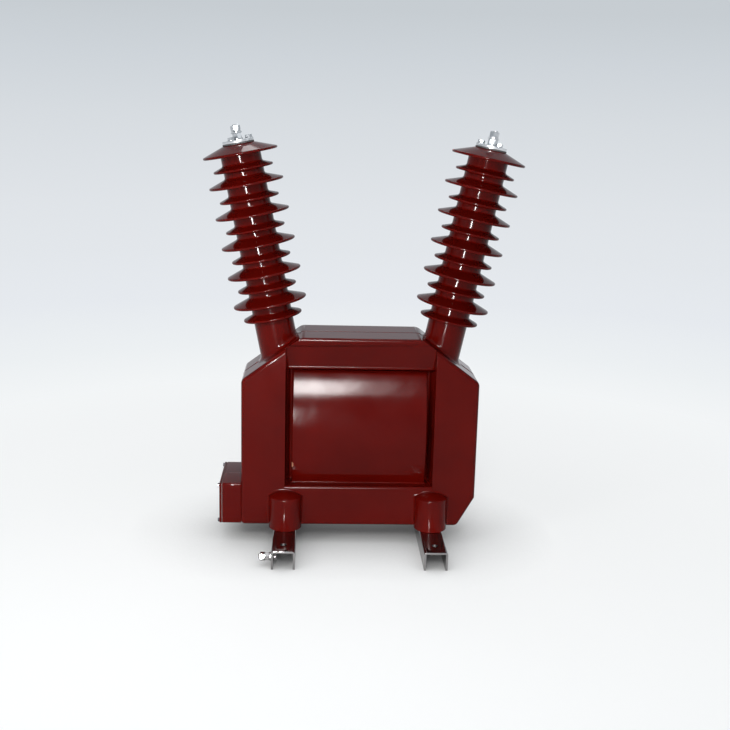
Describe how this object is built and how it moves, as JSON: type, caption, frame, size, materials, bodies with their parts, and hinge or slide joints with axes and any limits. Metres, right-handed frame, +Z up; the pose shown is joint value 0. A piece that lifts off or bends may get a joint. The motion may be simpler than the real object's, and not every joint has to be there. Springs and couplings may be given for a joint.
{
  "type": "outdoor voltage transformer",
  "caption": "Outdoor cast-resin instrument transformer: box-shaped body with a winding drum, two leaning shedded bushings, a side terminal box and folded base channels.",
  "frame": {"origin": "on the ground under the middle of the body", "axes": "+Z up, +X from the terminal box side to the other side, front toward -Y, channels along Y"},
  "size_m": [0.6844, 0.46, 0.9058],
  "materials": {
    "cast_resin": "glossy dark red-brown cast epoxy",
    "zinc_channel": "bright zinc-plated steel",
    "zinc_hardware": "zinc-plated steel",
    "terminal_plate": "tinned plate",
    "core_steel": "wound core steel",
    "copper": "enamelled copper",
    "brass": "turned brass",
    "former_paper": "varnished pressboard",
    "board": "phenolic laminate",
    "black_rubber": "black rubber",
    "gland_plastic": "black nylon"
  },
  "bodies": {
    "root": {"resin_body": "cast_resin", "terminal_box": "cast_resin", "box_cover": "cast_resin", "base_channel_left": "zinc_channel", "base_channel_right": "zinc_channel", "plate_bolts": "zinc_hardware", "plate_bolt_washers": "zinc_hardware", "terminal_studs": "zinc_hardware", "terminal_washers": "zinc_hardware", "terminal_lower_nuts": "zinc_hardware", "terminal_spring_washers": "zinc_hardware", "terminal_upper_nuts": "zinc_hardware", "foot_bolts": "zinc_hardware", "foot_washers": "zinc_hardware", "foot_spring_washers": "zinc_hardware", "earth_bolt": "zinc_hardware", "earth_washers": "zinc_hardware", "earth_spring_washer": "zinc_hardware", "earth_nuts": "zinc_hardware", "box_screws": "zinc_hardware", "board_screws": "zinc_hardware", "cover_screws": "zinc_hardware", "terminal_plate_left": "terminal_plate", "terminal_plate_right": "terminal_plate", "core_half_left": "core_steel", "core_half_right": "core_steel", "core_band": "core_steel", "secondary_winding": "copper", "primary_winding": "copper", "primary_lead_left": "copper", "primary_lead_right": "copper", "secondary_leads": "copper", "stud_inserts": "brass", "plate_inserts": "brass", "foot_inserts": "brass", "box_inserts": "brass", "secondary_studs": "brass", "secondary_washers": "brass", "secondary_nuts": "brass", "winding_former": "former_paper", "terminal_board": "board", "terminal_gaskets": "black_rubber", "cover_gasket": "black_rubber", "gland_seal": "black_rubber", "gland_body": "gland_plastic", "gland_lock_nut": "gland_plastic", "gland_cap": "gland_plastic"}
  },
  "joints": []
}
